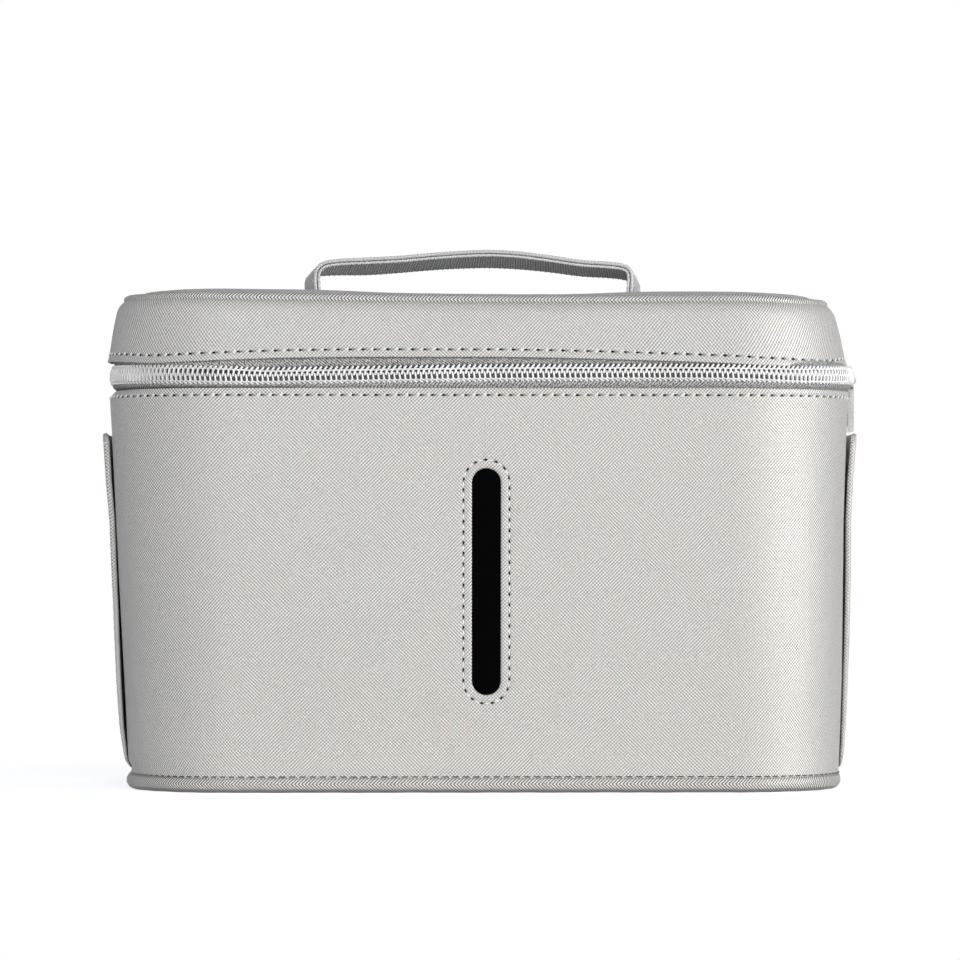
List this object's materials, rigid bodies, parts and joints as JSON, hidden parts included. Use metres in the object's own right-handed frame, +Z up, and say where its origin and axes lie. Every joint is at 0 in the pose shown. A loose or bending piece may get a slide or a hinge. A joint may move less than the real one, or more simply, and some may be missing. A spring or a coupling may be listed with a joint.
{
  "type": "uv sterilization case",
  "caption": "Zip-round leatherette carrying case whose hinged lid holds an ultraviolet lamp tray, with a smoked front window, side pockets and a top handle.",
  "frame": {"origin": "centre of the flat base face", "axes": "+Z up through the lid, front window faces -Y, hinge at +Y, zip sliders on the +X side"},
  "size_m": [0.2753, 0.1774, 0.1961],
  "materials": {
    "leatherette": "metallic champagne grey crosshatch leatherette",
    "leatherette_piping": "leatherette piping",
    "foam_board": "closed-cell foam board",
    "silver_lining": "silvered reflective lining",
    "grey_board": "pressed grey board",
    "smoked_acrylic": "glossy smoked acrylic",
    "magnet_steel": "nickel plated magnet",
    "zip_tape": "grey woven zip tape",
    "zip_coil": "silver metallised coil",
    "nickel": "polished nickel",
    "crown_foam": "soft foam",
    "grosgrain": "ribbed grosgrain",
    "zinc_steel": "zinc plated",
    "white_plastic": "satin white",
    "circuit_board": "white solder mask",
    "lamp_chip": "lamp package with lens",
    "battery_wrap": "shrink wrap",
    "ribbon": "flat cable",
    "black_plastic": "black moulding",
    "grey_plastic": "satin grey moulding",
    "light_pipe": "frosted light pipe"
  },
  "bodies": {
    "case_body": {"body_skin": "leatherette", "body_stiffener": "foam_board", "body_liner": "silver_lining", "base_board": "grey_board", "base_skin": "leatherette", "base_piping": "leatherette_piping", "window_lens": "smoked_acrylic", "lid_magnet": "magnet_steel", "side_pocket_left": "leatherette", "side_pocket_right": "leatherette", "zip_tape_lower": "zip_tape", "zip_coil_lower": "zip_coil", "zip_end_stops": "nickel", "hinge_tape": "leatherette"},
    "lid": {"zip_tape_upper": "zip_tape", "zip_coil_upper": "zip_coil", "lid_band_skin": "leatherette", "lid_band_board": "foam_board", "lid_piping": "leatherette_piping", "lid_top_skin": "leatherette", "lid_top_foam": "crown_foam", "lid_top_board": "grey_board", "handle_strap": "leatherette", "handle_webbing": "grosgrain", "handle_anchor_plates": "zinc_steel", "handle_rivets": "zinc_steel", "lamp_tray": "white_plastic", "tray_screws": "zinc_steel", "led_board": "circuit_board", "led_board_screws": "zinc_steel", "uv_leds": "lamp_chip", "battery_pad": "crown_foam", "battery_pack": "battery_wrap", "ribbon_cable": "ribbon", "lid_lining": "silver_lining", "reed_switch": "black_plastic", "control_plate": "grey_plastic", "switch_housing": "black_plastic", "status_light": "light_pipe", "charge_socket": "nickel", "control_board": "circuit_board", "board_screws": "zinc_steel"},
    "button": {"power_button": "white_plastic", "switch_plunger": "black_plastic"},
    "slider_front": {"zip_slider_front": "nickel"},
    "puller_front": {"zip_puller_front": "nickel"},
    "slider_rear": {"zip_slider_rear": "nickel"},
    "puller_rear": {"zip_puller_rear": "nickel"}
  },
  "joints": [
    {"name": "lid_hinge", "type": "hinge", "parent": "case_body", "child": "lid", "pos_m": [0, 0.08885, 0.1484], "axis": [-1, 0, 0], "range_deg": [0, 105], "deforming": ["hinge_tape"]},
    {"name": "slider_front_slide", "type": "slide", "parent": "case_body", "child": "slider_front", "axis": [0, -1, 0], "range_m": [0, 0.038]},
    {"name": "slider_rear_slide", "type": "slide", "parent": "case_body", "child": "slider_rear", "axis": [0, 1, 0], "range_m": [0, 0.02]},
    {"name": "puller_front_swing", "type": "hinge", "parent": "slider_front", "child": "puller_front", "pos_m": [0.13715, 0.003, 0.1484], "axis": [0, -1, 0], "range_deg": [0, 165]},
    {"name": "puller_rear_swing", "type": "hinge", "parent": "slider_rear", "child": "puller_rear", "pos_m": [0.13715, 0.017, 0.1484], "axis": [0, -1, 0], "range_deg": [0, 165]},
    {"name": "power_button_press", "type": "slide", "parent": "lid", "child": "button", "axis": [0, -0.9801, -0.1988], "range_m": [0, 0.0005], "stiffness_N_per_m": 400}
  ]
}
